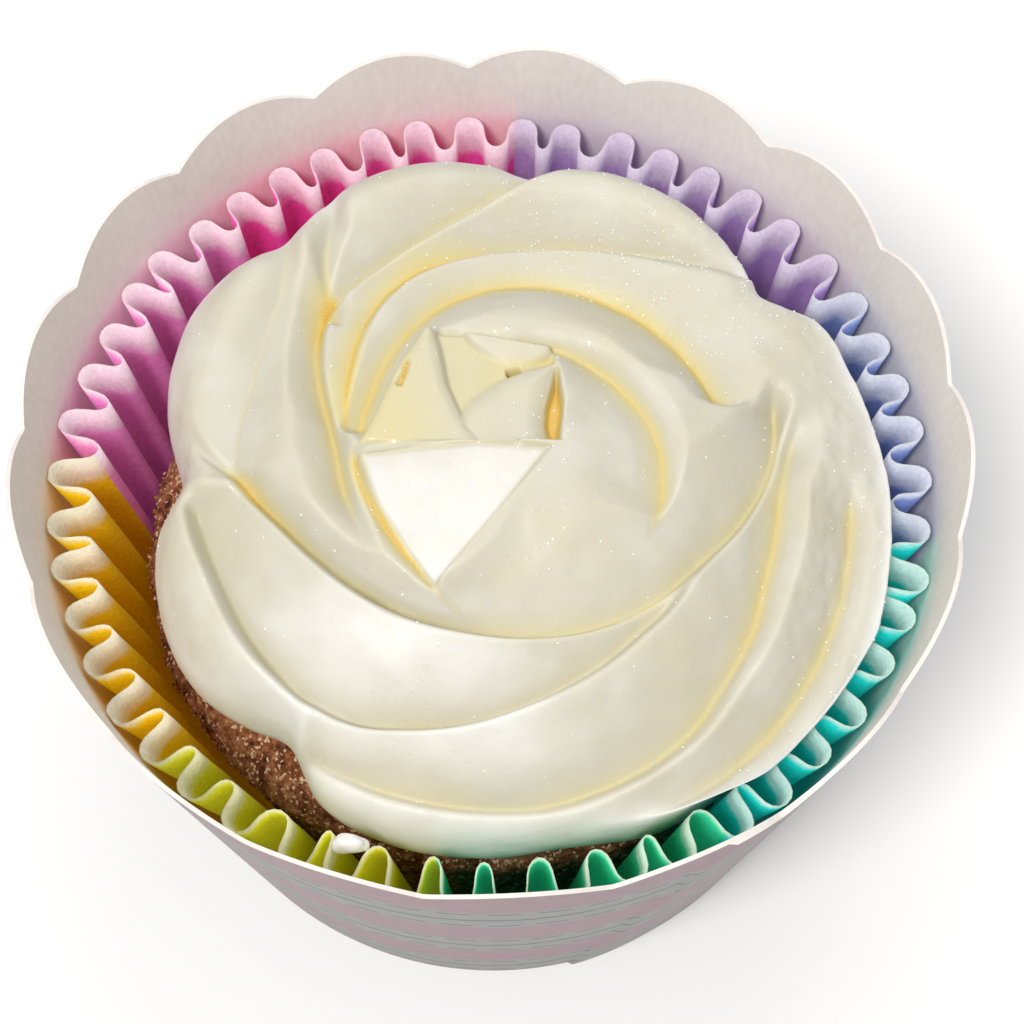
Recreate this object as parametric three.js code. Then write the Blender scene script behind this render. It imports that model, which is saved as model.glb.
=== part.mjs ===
// A piped cupcake in a pleated paper case, standing in a scalloped card baking cup.
// Millimetres, +Z up, the cup's axis on Z, its foot on Z = 0, its front towards -Y.
import * as THREE from 'three';

// ---- card cup -------------------------------------------------------------
const FOOT_R = 28.5;          // outside radius at the foot
const RIM_R = 35.0;           // outside radius where two scallops meet
const NOTCH_Z = 42.6;         // height where two scallops meet
const SCALLOPS = 17;
const SCALLOP_H = 2.2;        // how far a scallop stands above its notches
const SCALLOP_TURN = 72.5;    // where the first notch lies, degrees
const CARD = 0.6;             // card thickness
const RECESS = 3.0;           // the floor stands this far above the foot
const FOOT_BAND = 1.3;        // wall and turned-down floor edge together
const SEAM_LIFT = 0.3;        // the wall's overlap stands this proud
const SEAM_W = 14;            // the overlap's width, degrees
const SEAM_FOOT = 284;        // where its free edge meets the foot, degrees
const SEAM_RIM = 297;         // and where it meets the rim: the blank is cut aslant

// ---- pleated case ---------------------------------------------------------
const PLEATS = 50;
const PAPER = 0.3;
const CASE_Z0 = 3.9;          // underside of its floor
const CASE_Z1 = 37.7;         // top edge
const CASE_OUT0 = 25.5;       // outer folds at the floor
const CASE_OUT1 = 33.0;       // and at the top edge
const CASE_IN0 = 24.65;       // inner folds at the floor
const CASE_IN1 = 30.4;        // and at the top edge
const PLEAT_WAIST = 0.8;      // how steep a pleat's sides are: 1 is straight in and out
const PLEAT_BULGE = 0.45;     // how much wider the outer fold is than the inner

// ---- cake -----------------------------------------------------------------
const CAKE_Z0 = 4.6;
const CAKE_EDGE_Z = 26.6;     // where the side turns into the dome
const CAKE_TOP_Z = 35.0;
const CAKE_CLEAR = 0.4;       // from the inner folds

// ---- icing ----------------------------------------------------------------
const SWIRL_X = 2.0;          // the swirl's centre: it leans to the front right
const SWIRL_Y = -2.0;
const SWIRL_TOP = 47.6;
const SWIRL_FALL = 5.0;       // how far the ridges fall to 22 mm out
const ICING_CLEAR = 0.4;      // above the cake
const ROLL = 4.5;             // width of the rounded outer flank
const LIFT_FLANK = 6.0;       // the back lobes' widest part stands this much higher
const LIFT_TOP = 4.2;         // and their tops this much
const UNDERCUT = 2.4;         // how far the flank turns back in underneath
// the outline's knots: degrees round the swirl, radius; notches between the lobes
const OUTLINE = [
  [0, 28.0], [20, 27.2], [30, 26.8], [35, 25.4], [40, 24.6], [46, 25.9], [57, 27.3],
  [72, 28.1], [80, 28.0], [87, 27.2], [96, 28.6], [104, 29.4], [112, 29.8], [122, 29.2],
  [131, 28.2], [140, 29.8], [150, 30.4], [163, 28.8], [177, 25.9], [186, 27.6],
  [196, 28.2], [210, 27.9],
  [220, 26.3], [228, 25.0], [238, 27.0], [250, 27.3], [264, 26.8], [278, 26.4],
  [296, 27.6], [314, 29.1], [330, 29.6], [345, 29.2],
];
// the valleys between the piped ridges: depth, then knots of degrees and radius
const VALLEYS = [
  { depth: 2.4, knots: [[284, 27.0], [310, 25.8], [336, 25.3], [360, 24.9]] },
  { depth: 2.6, knots: [[231, 25.8], [255, 24.8], [285, 23.4], [315, 21.3], [345, 19.8],
    [377, 22.5]] },
  { depth: 2.6, knots: [[180, 24.8], [205, 23.2], [228, 22.8], [250, 20.7], [275, 17.5],
    [300, 15.6], [330, 15.0]] },
  { depth: 2.6, knots: [[167, 25.2], [180, 20.7], [212, 15.4], [245, 13.6], [275, 13.0],
    [310, 13.8], [350, 16.6], [387, 21.2]] },
  { depth: 2.0, knots: [[127, 29.0], [145, 24.4], [163, 22.3], [180, 21.0]] },
  { depth: 2.8, knots: [[80, 28.6], [90, 25.4], [112, 22.0], [136, 20.0], [157, 16.0],
    [178, 13.4], [205, 12.7]] },
  { depth: 2.8, knots: [[44, 25.6], [60, 22.5], [80, 20.7], [97, 19.9], [113, 19.3],
    [136, 16.6], [157, 13.9], [175, 12.5], [212, 11.2], [240, 12.0]] },
  { depth: 2.6, knots: [[18, 15.8], [40, 15.6], [63, 15.8], [97, 15.5], [120, 14.2],
    [153, 12.0], [176, 11.6], [209, 10.8], [240, 12.0]] },
  { depth: 2.0, knots: [[330, 12.6], [350, 11.8], [386, 9.9], [409, 8.9], [450, 8.3],
    [480, 10.0], [521, 9.8]] },
];
const VALLEY_W = 4.2;         // how far from a valley its flanks reach

const DEG = Math.PI / 180;
const clamp = (v, a, b) => Math.min(b, Math.max(a, v));
const mix = (a, b, t) => a + (b - a) * t;
const smooth = (a, b, v) => {
  const t = clamp((v - a) / (b - a), 0, 1);
  return t * t * (3 - 2 * t);
};
const wrap = (a) => ((a % 360) + 360) % 360;

// A smooth curve through knots of [angle, value]; null outside them.
function through(knots, angle) {
  if (angle < knots[0][0] || angle > knots[knots.length - 1][0]) return null;
  let i = 0;
  while (i < knots.length - 2 && angle > knots[i + 1][0]) i += 1;
  const slope = (k) => {
    const a = knots[Math.max(0, k - 1)];
    const b = knots[Math.min(knots.length - 1, k + 1)];
    return (b[1] - a[1]) / (b[0] - a[0]);
  };
  const [x0, y0] = knots[i];
  const [x1, y1] = knots[i + 1];
  const h = x1 - x0;
  const t = (angle - x0) / h;
  const t2 = t * t;
  const t3 = t2 * t;
  return (2 * t3 - 3 * t2 + 1) * y0 + (t3 - 2 * t2 + t) * h * slope(i)
    + (3 * t2 - 2 * t3) * y1 + (t3 - t2) * h * slope(i + 1);
}

const at = (deg, r, z) => new THREE.Vector3(r * Math.cos(deg * DEG), r * Math.sin(deg * DEG), z);
const pole = (z, x = 0, y = 0) => [new THREE.Vector3(x, y, z)];

// One closed solid from rings of points, listed from the underside's centre outwards,
// up the outside, over the top and back to the axis.
function ringSolid(name, rings, colour, roughness) {
  const points = [];
  const starts = [];
  for (const ring of rings) {
    starts.push(points.length);
    points.push(...ring);
  }
  const index = [];
  for (let i = 0; i + 1 < rings.length; i += 1) {
    const n = Math.max(rings[i].length, rings[i + 1].length);
    for (let j = 0; j < n; j += 1) {
      const k = (j + 1) % n;
      const a = starts[i];
      const b = starts[i + 1];
      if (rings[i].length === 1) index.push(a, b + k, b + j);
      else if (rings[i + 1].length === 1) index.push(a + j, a + k, b);
      else index.push(a + j, a + k, b + k, a + j, b + k, b + j);
    }
  }
  const geometry = new THREE.BufferGeometry();
  const flat = points.flatMap((p) => [p.x, p.y, p.z]);
  geometry.setAttribute('position', new THREE.Float32BufferAttribute(flat, 3));
  geometry.setIndex(index);
  geometry.computeVertexNormals();
  const material = new THREE.MeshStandardMaterial({ color: colour, roughness, metalness: 0 });
  const mesh = new THREE.Mesh(geometry, material);
  mesh.name = name;
  return mesh;
}

function ring(count, point) {
  return Array.from({ length: count }, (_, j) => point(j));
}

// ---- the card cup: straight tapered wall, arched rim, floor set up inside the foot -------
function cardCup() {
  const per = 6;
  const count = SCALLOPS * per;
  const angle = (j) => SCALLOP_TURN + (j * 360) / count;
  const rimZ = (j) => {
    const u = (j % per) / per;
    return NOTCH_Z + SCALLOP_H * (1 - (2 * u - 1) ** 2);
  };
  const wall = (z) => mix(FOOT_R, RIM_R, z / NOTCH_Z);
  const lift = (j, z) => {
    const free = mix(SEAM_FOOT, SEAM_RIM, z / NOTCH_Z);
    const into = wrap(angle(j) - free + 180) - 180;
    return into >= 0 && into < SEAM_W ? SEAM_LIFT * (1 - into / SEAM_W) : 0;
  };
  const circle = (r, z) => ring(count, (j) => at(angle(j), r, z));
  const outer = (height) => ring(count, (j) => {
    const z = height(j);
    return at(angle(j), wall(z) + lift(j, z), z);
  });
  const floorZ = RECESS + CARD;
  return ringSolid('card_cup', [
    pole(RECESS),
    circle(FOOT_R - FOOT_BAND, RECESS),
    circle(FOOT_R - FOOT_BAND, 0),
    outer(() => 0),
    outer(() => NOTCH_Z / 2),
    outer(rimZ),
    ring(count, (j) => at(angle(j), wall(rimZ(j)) - CARD, rimZ(j))),
    circle(wall(floorZ) - CARD, floorZ),
    pole(floorZ),
  ], '#d9d4cf', 0.8);
}

// ---- the pleated case: the pleats' plan, thickened and drawn out from floor to edge ------
function pleatPlan(rIn, rOut, phase) {
  const s = phase - Math.floor(phase);
  const mid = (rIn + rOut) / 2;
  const half = (rOut - rIn) / 2;
  const sway = (PLEAT_WAIST * Math.sin(4 * Math.PI * s)) / (4 * Math.PI)
    + (PLEAT_BULGE * Math.sin(2 * Math.PI * s)) / (2 * Math.PI);
  const deg = ((phase + sway) * 360) / PLEATS;
  const p = at(deg, mid + half * Math.cos(2 * Math.PI * s), 0);
  return new THREE.Vector2(p.x, p.y);
}

function pleatRing(rIn, rOut, z, side) {
  const per = 6;
  return ring(PLEATS * per, (j) => {
    const here = pleatPlan(rIn, rOut, j / per);
    const before = pleatPlan(rIn, rOut, j / per - 0.02);
    const after = pleatPlan(rIn, rOut, j / per + 0.02);
    const along = after.sub(before).normalize();
    return new THREE.Vector3(
      here.x + (along.y * side * PAPER) / 2,
      here.y - (along.x * side * PAPER) / 2,
      z,
    );
  });
}

function paperCase() {
  const floorTop = CASE_Z0 + PAPER;
  return ringSolid('paper_case', [
    pole(CASE_Z0),
    pleatRing(CASE_IN0, CASE_OUT0, CASE_Z0, 1),
    pleatRing(CASE_IN1, CASE_OUT1, CASE_Z1, 1),
    pleatRing(CASE_IN1, CASE_OUT1, CASE_Z1, -1),
    pleatRing(CASE_IN0, CASE_OUT0, floorTop, -1),
    pole(floorTop),
  ], '#d65fa8', 0.75);
}

const innerFold = (z) => mix(CASE_IN0, CASE_IN1, (z - CASE_Z0) / (CASE_Z1 - CASE_Z0)) - PAPER / 2;

// ---- the cake: a plug that follows the case's inner folds, with a domed top --------------
const CAKE_R = innerFold(CAKE_EDGE_Z) - CAKE_CLEAR;
const dome = (r) => CAKE_TOP_Z - (CAKE_TOP_Z - CAKE_EDGE_Z) * (r / CAKE_R) ** 2.6;

function cake() {
  const count = 60;
  const circle = (r, z) => ring(count, (j) => at((j * 360) / count, r, z));
  const tops = [0.985, 0.95, 0.88, 0.78, 0.65, 0.5, 0.33, 0.16];
  return ringSolid('cake', [
    pole(CAKE_Z0),
    circle(innerFold(CAKE_Z0) - CAKE_CLEAR - 1, CAKE_Z0),
    circle(innerFold(CAKE_Z0 + 1) - CAKE_CLEAR, CAKE_Z0 + 1),
    circle(CAKE_R, CAKE_EDGE_Z),
    ...tops.map((f) => circle(CAKE_R * f, dome(CAKE_R * f))),
    pole(CAKE_TOP_Z),
  ], '#5c3a2e', 0.9);
}

// ---- the icing: a mound cut by curling valleys, rolled over at its scalloped outline -----
const loop = [...OUTLINE.slice(-2).map(([a, r]) => [a - 360, r]), ...OUTLINE,
  ...OUTLINE.slice(0, 2).map(([a, r]) => [a + 360, r])];
const outline = (deg) => through(loop, wrap(deg));

function grooves(deg, r) {
  let cut = 0;
  for (const { depth, knots } of VALLEYS) {
    const first = knots[0][0];
    const last = knots[knots.length - 1][0];
    for (const a of [wrap(deg), wrap(deg) + 360]) {
      const rv = through(knots, a);
      if (rv === null) continue;
      const near = clamp(1 - Math.abs(r - rv) / VALLEY_W, 0, 1);
      const fade = smooth(first - 4, first + 10, a) * (1 - smooth(last - 18, last, a));
      cut = Math.max(cut, depth * fade * near * near);
    }
  }
  return cut;
}

// how high the outline's widest part lies: over the case's edge at the right, lower elsewhere
const overEdge = (deg) => smooth(0.25, 0.8, Math.cos((deg - 340) * DEG));
// how far the lobes at the back lean up against the case
const backLift = (deg) => smooth(0.1, 0.95, Math.sin(deg * DEG));
const flankZ = (deg) => 34.2 + 5.6 * overEdge(deg) + LIFT_FLANK * backLift(deg);

function icingTop(deg, r) {
  const edge = outline(deg);
  const lift = LIFT_TOP * backLift(deg) * smooth(19, 27, r);
  const crest = SWIRL_TOP - SWIRL_FALL * (r / 22) ** 2 - grooves(deg, r) + lift;
  const e = clamp((r - (edge - ROLL)) / ROLL, 0, 1);
  return mix(flankZ(deg), crest, Math.sqrt(1 - e * e));
}

// A point of the icing: below the case's edge it keeps inside the inner folds.
function icingPoint(deg, r, z) {
  const p = at(deg, r, z);
  p.x += SWIRL_X;
  p.y += SWIRL_Y;
  const out = Math.hypot(p.x, p.y);
  const above = Math.max(0, z - CASE_Z1 - 1.0);
  const limit = innerFold(Math.min(z, CASE_Z1)) - ICING_CLEAR + 1.8 * above;
  const keep = Math.min(1, limit / out);
  p.x *= keep;
  p.y *= keep;
  return p;
}

function onCake(deg, r) {
  const p = icingPoint(deg, r, CAKE_EDGE_Z + 3);
  p.z = dome(Math.min(CAKE_R, Math.hypot(p.x, p.y))) + ICING_CLEAR;
  return p;
}

function icing() {
  const count = 100;
  const angle = (j) => (j * 360) / count;
  const tops = [1, 0.985, 0.955, 0.915, 0.87, 0.82, 0.77, 0.715, 0.66, 0.605, 0.55, 0.495,
    0.44, 0.385, 0.32, 0.24, 0.14];
  const base = (deg) => outline(deg) - UNDERCUT;
  return ringSolid('icing', [
    pole(dome(Math.hypot(SWIRL_X, SWIRL_Y)) + ICING_CLEAR, SWIRL_X, SWIRL_Y),
    ...[0.25, 0.5, 0.7, 0.87, 1].map((f) => ring(count, (j) => onCake(angle(j), base(angle(j)) * f))),
    ring(count, (j) => {
      const deg = angle(j);
      const full = Math.max(overEdge(deg), 0.6 * backLift(deg));
      const z = mix(onCake(deg, base(deg)).z, flankZ(deg), 0.45 + 0.43 * full);
      return icingPoint(deg, outline(deg) - UNDERCUT * 0.3, z);
    }),
    ...tops.map((f) => ring(count, (j) => {
      const r = outline(angle(j)) * f;
      return icingPoint(angle(j), r, icingTop(angle(j), r));
    })),
    pole(SWIRL_TOP, SWIRL_X, SWIRL_Y),
  ], '#f2ead2', 0.45);
}

const group = new THREE.Group();
group.name = 'cupcake';
group.add(cardCup(), paperCase(), cake(), icing());

export default group;
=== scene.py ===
# %% [markdown]
# # A piped cupcake in its pleated case and card baking cup
# The real thing is four pieces. A card cup, rolled from one printed blank, stands on its foot.
# A pleated greaseproof case sits in it, a chocolate sponge has risen in the case, and a rose
# of buttercream is piped on top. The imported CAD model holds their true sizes, in metres, so
# every piece here is made around it. Each cell makes one thing and says what it measures.

import math
import random

import bmesh
import bpy
from mathutils import Matrix, Vector, noise


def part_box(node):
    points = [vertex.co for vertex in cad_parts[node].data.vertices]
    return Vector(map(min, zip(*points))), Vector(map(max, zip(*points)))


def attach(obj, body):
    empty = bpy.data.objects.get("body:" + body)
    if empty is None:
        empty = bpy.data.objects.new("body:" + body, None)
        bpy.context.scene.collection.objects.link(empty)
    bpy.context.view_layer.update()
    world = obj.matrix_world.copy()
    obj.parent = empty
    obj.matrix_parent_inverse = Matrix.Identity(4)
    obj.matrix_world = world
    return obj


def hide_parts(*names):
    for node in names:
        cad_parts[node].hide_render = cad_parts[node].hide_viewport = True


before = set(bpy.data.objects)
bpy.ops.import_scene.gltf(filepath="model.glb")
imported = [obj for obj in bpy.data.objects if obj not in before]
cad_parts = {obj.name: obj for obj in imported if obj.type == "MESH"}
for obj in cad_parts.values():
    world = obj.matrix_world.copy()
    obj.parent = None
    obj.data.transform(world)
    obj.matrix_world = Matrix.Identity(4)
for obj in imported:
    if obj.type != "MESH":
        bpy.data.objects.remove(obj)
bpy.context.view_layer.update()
MM = 0.001
cup_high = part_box("card_cup")[1]
CUP_TOP = cup_high[2] / MM
print("the card cup stands", round(CUP_TOP, 1), "mm high")

# %% [markdown]
# ## Small tools
# A cupcake is round, so nearly everything is worked out from an angle in degrees round the
# cup's axis and a height in millimetres. A handful of short functions carries that.

# %% Tools for angles, blends and curves
def mix(a, b, t):
    return a + (b - a) * t


def clamp(v, low=0.0, high=1.0):
    return max(low, min(high, v))


def ease(a, b, v):
    t = clamp((v - a) / (b - a))
    return t * t * (3 - 2 * t)


def around(deg):
    # the same angle, between -180 and 180
    return (deg + 180) % 360 - 180


def at(deg, r, z):
    a = math.radians(deg)
    return Vector((r * math.cos(a), r * math.sin(a), z)) * MM


def through(knots, angle):
    # a smooth curve through knots of (angle, value); None outside them
    if not knots[0][0] <= angle <= knots[-1][0]:
        return None
    i = 0
    while i < len(knots) - 2 and angle > knots[i + 1][0]:
        i += 1

    def slope(k):
        a, b = knots[max(0, k - 1)], knots[min(len(knots) - 1, k + 1)]
        return (b[1] - a[1]) / (b[0] - a[0])

    (x0, y0), (x1, y1) = knots[i], knots[i + 1]
    h = x1 - x0
    t = (angle - x0) / h
    t2, t3 = t * t, t ** 3
    return ((2 * t3 - 3 * t2 + 1) * y0 + (t3 - 2 * t2 + t) * h * slope(i)
            + (3 * t2 - 2 * t3) * y1 + (t3 - t2) * h * slope(i + 1))


def wobble(x, y, z, seed=0.0):
    # smooth noise between about -1 and 1
    return noise.noise(Vector((x + seed * 7.3, y - seed * 3.1, z + seed)))


# %% Tools that turn a bmesh into a finished piece
def finish_piece(bm, name, materials, replaces, smooth=True):
    mesh = bpy.data.meshes.new(name)
    bm.to_mesh(mesh)
    bm.free()
    for polygon in mesh.polygons:
        polygon.use_smooth = smooth
    for material in materials:
        mesh.materials.append(material)
    piece = bpy.data.objects.new(name, mesh)
    bpy.context.collection.objects.link(piece)
    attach(piece, "root")
    if replaces:
        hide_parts(replaces)
    print(name, "has", len(mesh.polygons), "faces")
    return piece


# %% Tools for materials
def colour(hexa):
    # an sRGB hex value as linear light, which is what shader sockets take
    parts = [int(hexa[i:i + 2], 16) / 255 for i in (1, 3, 5)]
    return [c / 12.92 if c <= 0.04045 else ((c + 0.055) / 1.055) ** 2.4 for c in parts] + [1.0]


def new_material(name):
    material = bpy.data.materials.new(name)
    material.use_nodes = True
    tree = material.node_tree
    return material, tree, tree.nodes["Principled BSDF"]


def add(tree, kind, settings=None, inputs=None, links=None):
    # one node, with its own settings, its socket values, and what feeds its sockets
    node = tree.nodes.new(kind)
    for key, value in (settings or {}).items():
        setattr(node, key, value)
    for key, value in (inputs or {}).items():
        node.inputs[key].default_value = value
    for key, source in (links or {}).items():
        tree.links.new(source, node.inputs[key])
    return node


def ramp(tree, source, stops, interpolation="LINEAR"):
    node = add(tree, "ShaderNodeValToRGB", links={"Fac": source})
    bar = node.color_ramp
    bar.interpolation = interpolation
    while len(bar.elements) < len(stops):
        bar.elements.new(0.5)
    for element, (place, value) in zip(bar.elements, stops):
        element.position = place
        element.color = value
    return node.outputs["Color"]


def maths(tree, operation, a, b=None, c=None, clamped=False):
    node = add(tree, "ShaderNodeMath", {"operation": operation, "use_clamp": clamped})
    for socket, value in zip(node.inputs, (a, b, c)):
        if value is None:
            continue
        if isinstance(value, (int, float)):
            socket.default_value = value
        else:
            tree.links.new(value, socket)
    return node.outputs[0]


# %% [markdown]
# ## The case's eight colours
# The paper case is dyed in eight sectors, and the light they reflect onto the card above is
# painted into the card's colour, so two materials need them. A ramp that jumps from colour
# to colour, fed with the angle round the axis, is a wheel of sectors.

# %% A wheel of tints
# where each colour starts, in degrees round the cup, and its pale and full tints
CASE_TINTS = [
    (32, "#d2c2e0", "#ac8aca"),      # purple
    (86, "#fbcbe0", "#fb46a6"),      # magenta
    (132, "#fad4e6", "#ea82c6"),     # orchid
    (177, "#f4e9c8", "#f8be08"),     # yellow
    (221, "#e4e2b0", "#dcda20"),     # lime
    (262, "#cbeed3", "#2cd29c"),     # sea green
    (300, "#c0ebe3", "#14d6d0"),     # turquoise
    (351, "#ccd2ea", "#7288c4"),     # slate blue
]


def case_wheel(tree, place, which):
    # the case's pale (1) or full (2) tint at this angle round the cup
    axes = add(tree, "ShaderNodeSeparateXYZ", links={"Vector": place}).outputs
    turn = maths(tree, "ARCTAN2", axes["Y"], axes["X"])
    share = maths(tree, "FRACT", maths(tree, "MULTIPLY_ADD", turn, 1 / math.tau, 1.0))
    stops = [(0.0, colour(CASE_TINTS[-1][which]))]
    stops += [(tint[0] / 360, colour(tint[which])) for tint in CASE_TINTS]
    return ramp(tree, share, stops, "CONSTANT")


# %% [markdown]
# ## Card
# The cup is thin solid bleached board, cut and rolled. Inside it is plain: a warm grey white
# with faint fibres, quite matt. Outside it is litho printed with pink, broad pale bands and
# fine lines, some of them dashed. The bands go round the cup at fixed heights, so height and
# angle are all that the print needs.

# %% Plain bleached board
# where the case's reflected light is painted on the board
GLOW_TOP, GLOW_FULL = 0.0415, 0.036     # m: where the case's glow ends, and is fullest
GLOW_MOST = 0.32


def bleached_board():
    # uncoated paper fibre: matt, slightly mottled, which keeps the wall from looking plastic
    material, tree, shader = new_material("bleached_board_uncoated")
    place = add(tree, "ShaderNodeTexCoord").outputs["Object"]
    fibre_map = add(tree, "ShaderNodeMapping", inputs={"Scale": (1.0, 1.0, 0.35)},
                    links={"Vector": place})
    # real fibres are finer than 0.1 mm; these are drawn 0.4 mm wide so that they show
    fibres = add(tree, "ShaderNodeTexNoise", inputs={"Scale": 2200.0, "Detail": 3.0},
                 links={"Vector": fibre_map.outputs["Vector"]}).outputs["Fac"]
    clouds = add(tree, "ShaderNodeTexNoise", inputs={"Scale": 90.0, "Detail": 4.0},
                 links={"Vector": place}).outputs["Fac"]
    tone = maths(tree, "MULTIPLY_ADD", fibres, 0.45, maths(tree, "MULTIPLY", clouds, 0.55))
    board = ramp(tree, tone, [(0.32, colour("#dcd5cf")), (0.68, colour("#eae5e0"))])
    # painted reflected light: the case's colours are painted onto the board just above its edge
    pales = case_wheel(tree, place, 1)
    height = add(tree, "ShaderNodeSeparateXYZ", links={"Vector": place}).outputs["Z"]
    bounce = add(tree, "ShaderNodeMapRange", {"interpolation_type": "SMOOTHSTEP"},
                 {"From Min": GLOW_TOP, "From Max": GLOW_FULL, "To Max": GLOW_MOST},
                 {"Value": height})
    tinted = add(tree, "ShaderNodeMix", {"data_type": "RGBA", "blend_type": "MULTIPLY"},
                 links={"Factor": bounce.outputs["Result"], "A": board, "B": pales}).outputs[2]
    tree.links.new(tinted, shader.inputs["Base Color"])
    bump = add(tree, "ShaderNodeBump", inputs={"Strength": 0.25, "Distance": 0.0001},
               links={"Height": fibres})
    tree.links.new(bump.outputs["Normal"], shader.inputs["Normal"])
    shader.inputs["Roughness"].default_value = 0.78
    shader.inputs["IOR"].default_value = 1.45
    return material


# %% Printed board
BAND_STEP = 14.7          # mm from one pale band to the next
BAND_FIRST = 4.2          # the height of the lowest band's middle
BAND_HALF = 3.9
LINE_HALF = 0.28          # the full line along a band's middle
DASH_OFF = 2.9            # the dashed lines, either side of a band's middle
DASH_HALF = 0.2
DASHES = 60               # round the cup
DASH_SHARE = 0.68         # how much of each step is ink


def printed_board():
    # litho ink under a thin varnish: a soft gloss, with the ink a little uneven
    material, tree, shader = new_material("printed_board_varnished")
    place = add(tree, "ShaderNodeTexCoord").outputs["Object"]
    axes = add(tree, "ShaderNodeSeparateXYZ", links={"Vector": place}).outputs
    height = maths(tree, "MULTIPLY", axes["Z"], 1000.0)
    turn = maths(tree, "ARCTAN2", axes["Y"], axes["X"])
    from_band = maths(tree, "WRAP", maths(tree, "SUBTRACT", height, BAND_FIRST),
                      BAND_STEP / 2, -BAND_STEP / 2)
    off = maths(tree, "ABSOLUTE", from_band)
    in_band = maths(tree, "LESS_THAN", off, BAND_HALF)
    in_line = maths(tree, "LESS_THAN", off, LINE_HALF)
    from_dash = maths(tree, "ABSOLUTE", maths(tree, "SUBTRACT", off, DASH_OFF))
    near_dash = maths(tree, "LESS_THAN", from_dash, DASH_HALF)
    step = maths(tree, "FRACT", maths(tree, "MULTIPLY", turn, DASHES / math.tau))
    dash = maths(tree, "MULTIPLY", near_dash, maths(tree, "LESS_THAN", step, DASH_SHARE))
    grain = add(tree, "ShaderNodeTexNoise", inputs={"Scale": 700.0, "Detail": 4.0},
                links={"Vector": place}).outputs["Fac"]
    # painted shade: the print's pink, grey and line colours are set darker, for the outside wall
    # that gets less light
    pink = ramp(tree, grain, [(0.3, colour("#91777e")), (0.7, colour("#998087"))])
    grey = ramp(tree, grain, [(0.3, colour("#878987")), (0.7, colour("#8f918e"))])
    ink = ramp(tree, grain, [(0.3, colour("#515854")), (0.7, colour("#636965"))])
    printed = add(tree, "ShaderNodeMix", {"data_type": "RGBA"},
                  links={"Factor": in_band, "A": pink, "B": grey}).outputs[2]
    lines = maths(tree, "MAXIMUM", in_line, dash)
    printed = add(tree, "ShaderNodeMix", {"data_type": "RGBA"},
                  links={"Factor": lines, "A": printed, "B": ink}).outputs[2]
    tree.links.new(printed, shader.inputs["Base Color"])
    bump = add(tree, "ShaderNodeBump", inputs={"Strength": 0.12, "Distance": 0.0001},
               links={"Height": grain})
    tree.links.new(bump.outputs["Normal"], shader.inputs["Normal"])
    shader.inputs["Roughness"].default_value = 0.5
    shader.inputs["IOR"].default_value = 1.5
    return material


# %% [markdown]
# ## Card cup
# The blank is a ring sector with an arched edge, rolled until its ends overlap. One line
# for the wall's section, spun round the axis, gives the shell and its floor in one go. The
# arches, the proud overlap and the slight dent at the front are then moves of the vertices,
# and only the faces that look outwards take the printed board.

# %% The cup's sizes
FOOT_R = 28.5
RIM_R = 35.0
NOTCH_Z = 42.6
SCALLOPS = 17
SCALLOP_H = CUP_TOP - NOTCH_Z
SCALLOP_TURN = 72.5       # degrees, where the first notch lies
CARD = 0.32
RECESS = 3.0
FOOT_BAND = 1.3
SEAM_LIFT = 0.3
SEAM_W = 14.0             # degrees
SEAM_FOOT, SEAM_RIM = 284.0, 297.0
DENT = 0.25               # how far the front of the rim is pressed in
DENT_DEG, DENT_W = 268.0, 34.0
FLOOR_RING = 12.0         # a ring of points on the floor, so no face there is a long sliver
SHARP = 0.7               # radians; a corner in the card sharper than this stays crisp


def wall(z):
    return mix(FOOT_R, RIM_R, z / NOTCH_Z)


def rim_z(deg):
    u = ((deg - SCALLOP_TURN) % (360 / SCALLOPS)) / (360 / SCALLOPS)
    return NOTCH_Z + SCALLOP_H * (1 - (2 * u - 1) ** 2)


def dent(deg, z):
    near = math.exp(-(around(deg - DENT_DEG) / DENT_W) ** 2)
    return DENT * near * (z / NOTCH_Z) ** 2


def seam_lift(deg, z):
    into = around(deg - mix(SEAM_FOOT, SEAM_RIM, z / NOTCH_Z))
    return SEAM_LIFT * (1 - into / SEAM_W) if 0 <= into < SEAM_W else 0.0


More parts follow.
